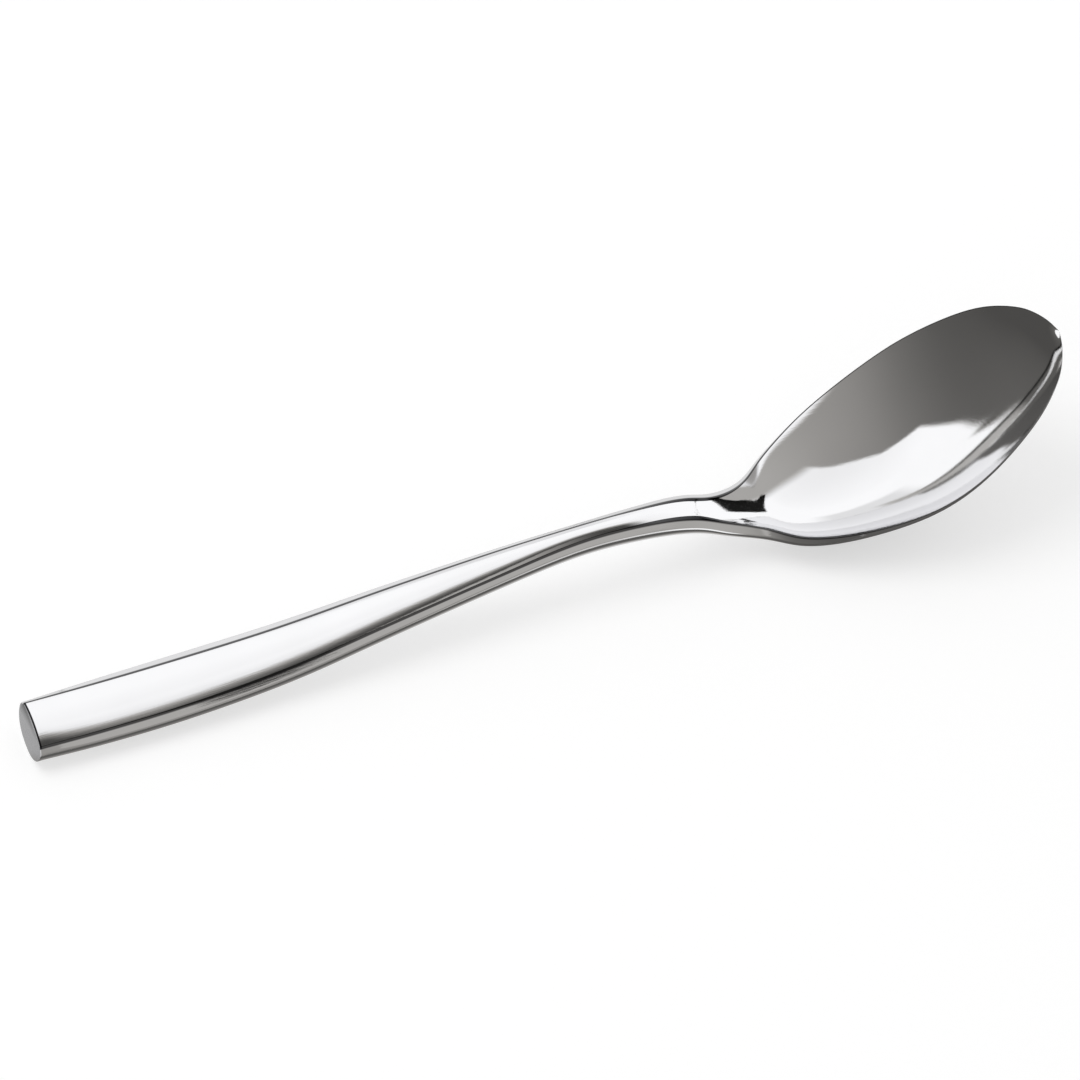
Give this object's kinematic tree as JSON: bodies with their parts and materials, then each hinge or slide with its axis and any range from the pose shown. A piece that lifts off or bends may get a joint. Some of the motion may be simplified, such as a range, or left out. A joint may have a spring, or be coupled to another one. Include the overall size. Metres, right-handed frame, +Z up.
{
  "type": "serving spoon",
  "caption": "Serving spoon with a deep pointed-oval bowl, a narrow arched neck and a thick hollow handle closed by a flat leaning end face.",
  "frame": {"origin": "centre of the bounding box on the table that the spoon lies on", "axes": "+X along the spoon from the handle's end to the tip of the bowl, +Z up out of the bowl, the spoon symmetric about the XZ plane"},
  "size_m": [0.2474, 0.0486, 0.0363],
  "materials": {
    "polished_steel": "polished",
    "filling": "matte"
  },
  "bodies": {
    "root": {"bowl": "polished_steel", "handle_top_shell": "polished_steel", "handle_bottom_shell": "polished_steel", "handle_end_cap": "polished_steel", "handle_core": "filling"}
  },
  "joints": []
}
